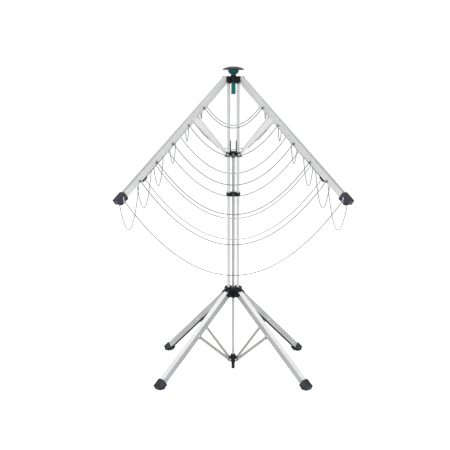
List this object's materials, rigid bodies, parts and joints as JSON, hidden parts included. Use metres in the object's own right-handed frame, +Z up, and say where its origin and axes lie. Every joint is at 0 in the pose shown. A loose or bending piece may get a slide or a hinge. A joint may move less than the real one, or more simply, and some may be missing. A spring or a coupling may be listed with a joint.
{
  "type": "rotary clothesline",
  "caption": "Free-standing rotary clothesline: a sliding mast opens hinged line arms and folding legs, with braces and one laced cord.",
  "frame": {"origin": "on the mast's axis at floor level", "axes": "+Z up along the mast, -Y to the front, +X to the right; an arm and a leg run out on each diagonal"},
  "size_m": [0.8266, 0.8266, 1.1685],
  "materials": {
    "aluminium": "drawn, lightly brushed aluminium channel and tube",
    "pressed_sheet": "pressed sheet with a dull mill finish",
    "dark_plastic": "fine-grained moulded plastic, charcoal",
    "foot_plastic": "softer matt moulded plastic, charcoal",
    "teal_plastic": "satin moulded plastic, teal",
    "deep_teal_plastic": "satin moulded plastic, deep teal",
    "steel": "zinc plated steel",
    "line_sheath": "smooth light grey plastic sheath over a cord core"
  },
  "bodies": {
    "core": {"latch_fork": "dark_plastic", "lower_hub": "dark_plastic", "lower_pin_back_left": "steel", "lower_pin_back_right": "steel", "lower_pin_front_left": "steel", "lower_pin_front_right": "steel", "mid_guide": "dark_plastic", "rod": "aluminium", "slider_pin_back_left": "steel", "slider_pin_back_right": "steel", "slider_pin_front_left": "steel", "slider_pin_front_right": "steel", "spike_tip": "foot_plastic", "upper_slider": "dark_plastic"},
    "mast_frame": {"arm_pin_back_left": "steel", "arm_pin_back_right": "steel", "arm_pin_front_left": "steel", "arm_pin_front_right": "steel", "clothesline": "line_sheath", "crown": "dark_plastic", "leg_pin_back_left": "steel", "leg_pin_back_right": "steel", "leg_pin_front_left": "steel", "leg_pin_front_right": "steel", "post_back_left": "aluminium", "post_back_right": "aluminium", "post_front_left": "aluminium", "post_front_right": "aluminium", "return_spring": "steel", "top_hub": "dark_plastic"},
    "release": {"push_knob": "dark_plastic", "release_collar": "deep_teal_plastic", "release_sleeve": "teal_plastic"},
    "front_left_arm": {"arm_front_left": "aluminium", "arm_cap_front_left": "dark_plastic"},
    "front_left_arm_brace": {"arm_brace_front_left": "pressed_sheet"},
    "front_left_leg": {"leg_front_left": "aluminium", "foot_front_left": "foot_plastic"},
    "front_left_leg_brace": {"leg_brace_front_left": "pressed_sheet"},
    "front_right_arm": {"arm_front_right": "aluminium", "arm_cap_front_right": "dark_plastic"},
    "front_right_arm_brace": {"arm_brace_front_right": "pressed_sheet"},
    "front_right_leg": {"leg_front_right": "aluminium", "foot_front_right": "foot_plastic"},
    "front_right_leg_brace": {"leg_brace_front_right": "pressed_sheet"},
    "back_right_arm": {"arm_back_right": "aluminium", "arm_cap_back_right": "dark_plastic"},
    "back_right_arm_brace": {"arm_brace_back_right": "pressed_sheet"},
    "back_right_leg": {"leg_back_right": "aluminium", "foot_back_right": "foot_plastic"},
    "back_right_leg_brace": {"leg_brace_back_right": "pressed_sheet"},
    "back_left_arm": {"arm_back_left": "aluminium", "arm_cap_back_left": "dark_plastic"},
    "back_left_arm_brace": {"arm_brace_back_left": "pressed_sheet"},
    "back_left_leg": {"leg_back_left": "aluminium", "foot_back_left": "foot_plastic"},
    "back_left_leg_brace": {"leg_brace_back_left": "pressed_sheet"}
  },
  "joints": [
    {"name": "mast_slide", "type": "slide", "parent": "core", "child": "mast_frame", "axis": [0, 0, -1], "range_m": [-0.2665, 0.1809], "deforming": ["clothesline"]},
    {"name": "release_press", "type": "slide", "parent": "mast_frame", "child": "release", "axis": [0, 0, -1], "range_m": [0, 0.006], "stiffness_N_per_m": 800, "springref_m": -0.006, "deforming": ["return_spring"]},
    {"name": "arm_swing_front_left", "type": "hinge", "parent": "mast_frame", "child": "front_left_arm", "pos_m": [-0.02934, -0.02934, 1.12], "axis": [-0.7071, 0.7071, 0], "range_deg": [-41.21, 28]},
    {"name": "arm_brace_swing_front_left", "type": "hinge", "parent": "core", "child": "front_left_arm_brace", "pos_m": [-0.02581, -0.02581, 0.8395], "axis": [-0.7071, 0.7071, 0], "range_deg": [-24.49, 36.04]},
    {"name": "leg_swing_front_left", "type": "hinge", "parent": "mast_frame", "child": "front_left_leg", "pos_m": [-0.02404, -0.02404, 0.3013], "axis": [-0.7071, 0.7071, 0], "range_deg": [-42.09, 28.6]},
    {"name": "leg_brace_swing_front_left", "type": "hinge", "parent": "core", "child": "front_left_leg_brace", "pos_m": [-0.0152, -0.0152, 0.0401], "axis": [-0.7071, 0.7071, 0], "range_deg": [-26.63, 39.19]},
    {"name": "arm_swing_front_right", "type": "hinge", "parent": "mast_frame", "child": "front_right_arm", "pos_m": [0.02934, -0.02934, 1.12], "axis": [-0.7071, -0.7071, 0], "range_deg": [-41.21, 28]},
    {"name": "arm_brace_swing_front_right", "type": "hinge", "parent": "core", "child": "front_right_arm_brace", "pos_m": [0.02581, -0.02581, 0.8395], "axis": [-0.7071, -0.7071, 0], "range_deg": [-24.49, 36.04]},
    {"name": "leg_swing_front_right", "type": "hinge", "parent": "mast_frame", "child": "front_right_leg", "pos_m": [0.02404, -0.02404, 0.3013], "axis": [-0.7071, -0.7071, 0], "range_deg": [-42.09, 28.6]},
    {"name": "leg_brace_swing_front_right", "type": "hinge", "parent": "core", "child": "front_right_leg_brace", "pos_m": [0.0152, -0.0152, 0.0401], "axis": [-0.7071, -0.7071, 0], "range_deg": [-26.63, 39.19]},
    {"name": "arm_swing_back_right", "type": "hinge", "parent": "mast_frame", "child": "back_right_arm", "pos_m": [0.02934, 0.02934, 1.12], "axis": [0.7071, -0.7071, 0], "range_deg": [-41.21, 28]},
    {"name": "arm_brace_swing_back_right", "type": "hinge", "parent": "core", "child": "back_right_arm_brace", "pos_m": [0.02581, 0.02581, 0.8395], "axis": [0.7071, -0.7071, 0], "range_deg": [-24.49, 36.04]},
    {"name": "leg_swing_back_right", "type": "hinge", "parent": "mast_frame", "child": "back_right_leg", "pos_m": [0.02404, 0.02404, 0.3013], "axis": [0.7071, -0.7071, 0], "range_deg": [-42.09, 28.6]},
    {"name": "leg_brace_swing_back_right", "type": "hinge", "parent": "core", "child": "back_right_leg_brace", "pos_m": [0.0152, 0.0152, 0.0401], "axis": [0.7071, -0.7071, 0], "range_deg": [-26.63, 39.19]},
    {"name": "arm_swing_back_left", "type": "hinge", "parent": "mast_frame", "child": "back_left_arm", "pos_m": [-0.02934, 0.02934, 1.12], "axis": [0.7071, 0.7071, 0], "range_deg": [-41.21, 28]},
    {"name": "arm_brace_swing_back_left", "type": "hinge", "parent": "core", "child": "back_left_arm_brace", "pos_m": [-0.02581, 0.02581, 0.8395], "axis": [0.7071, 0.7071, 0], "range_deg": [-24.49, 36.04]},
    {"name": "leg_swing_back_left", "type": "hinge", "parent": "mast_frame", "child": "back_left_leg", "pos_m": [-0.02404, 0.02404, 0.3013], "axis": [0.7071, 0.7071, 0], "range_deg": [-42.09, 28.6]},
    {"name": "leg_brace_swing_back_left", "type": "hinge", "parent": "core", "child": "back_left_leg_brace", "pos_m": [-0.0152, 0.0152, 0.0401], "axis": [0.7071, 0.7071, 0], "range_deg": [-26.63, 39.19]}
  ],
  "couplings": [
    {"joint": "arm_swing_front_left", "follows": "mast_slide", "rad_per_m": 2.692},
    {"joint": "arm_brace_swing_front_left", "follows": "mast_slide", "rad_per_m": -2.3536},
    {"joint": "leg_swing_front_left", "follows": "mast_slide", "rad_per_m": 2.75},
    {"joint": "leg_brace_swing_front_left", "follows": "mast_slide", "rad_per_m": -2.56},
    {"joint": "arm_swing_front_right", "follows": "mast_slide", "rad_per_m": 2.692},
    {"joint": "arm_brace_swing_front_right", "follows": "mast_slide", "rad_per_m": -2.3536},
    {"joint": "leg_swing_front_right", "follows": "mast_slide", "rad_per_m": 2.75},
    {"joint": "leg_brace_swing_front_right", "follows": "mast_slide", "rad_per_m": -2.56},
    {"joint": "arm_swing_back_right", "follows": "mast_slide", "rad_per_m": 2.692},
    {"joint": "arm_brace_swing_back_right", "follows": "mast_slide", "rad_per_m": -2.3536},
    {"joint": "leg_swing_back_right", "follows": "mast_slide", "rad_per_m": 2.75},
    {"joint": "leg_brace_swing_back_right", "follows": "mast_slide", "rad_per_m": -2.56},
    {"joint": "arm_swing_back_left", "follows": "mast_slide", "rad_per_m": 2.692},
    {"joint": "arm_brace_swing_back_left", "follows": "mast_slide", "rad_per_m": -2.3536},
    {"joint": "leg_swing_back_left", "follows": "mast_slide", "rad_per_m": 2.75},
    {"joint": "leg_brace_swing_back_left", "follows": "mast_slide", "rad_per_m": -2.56}
  ]
}
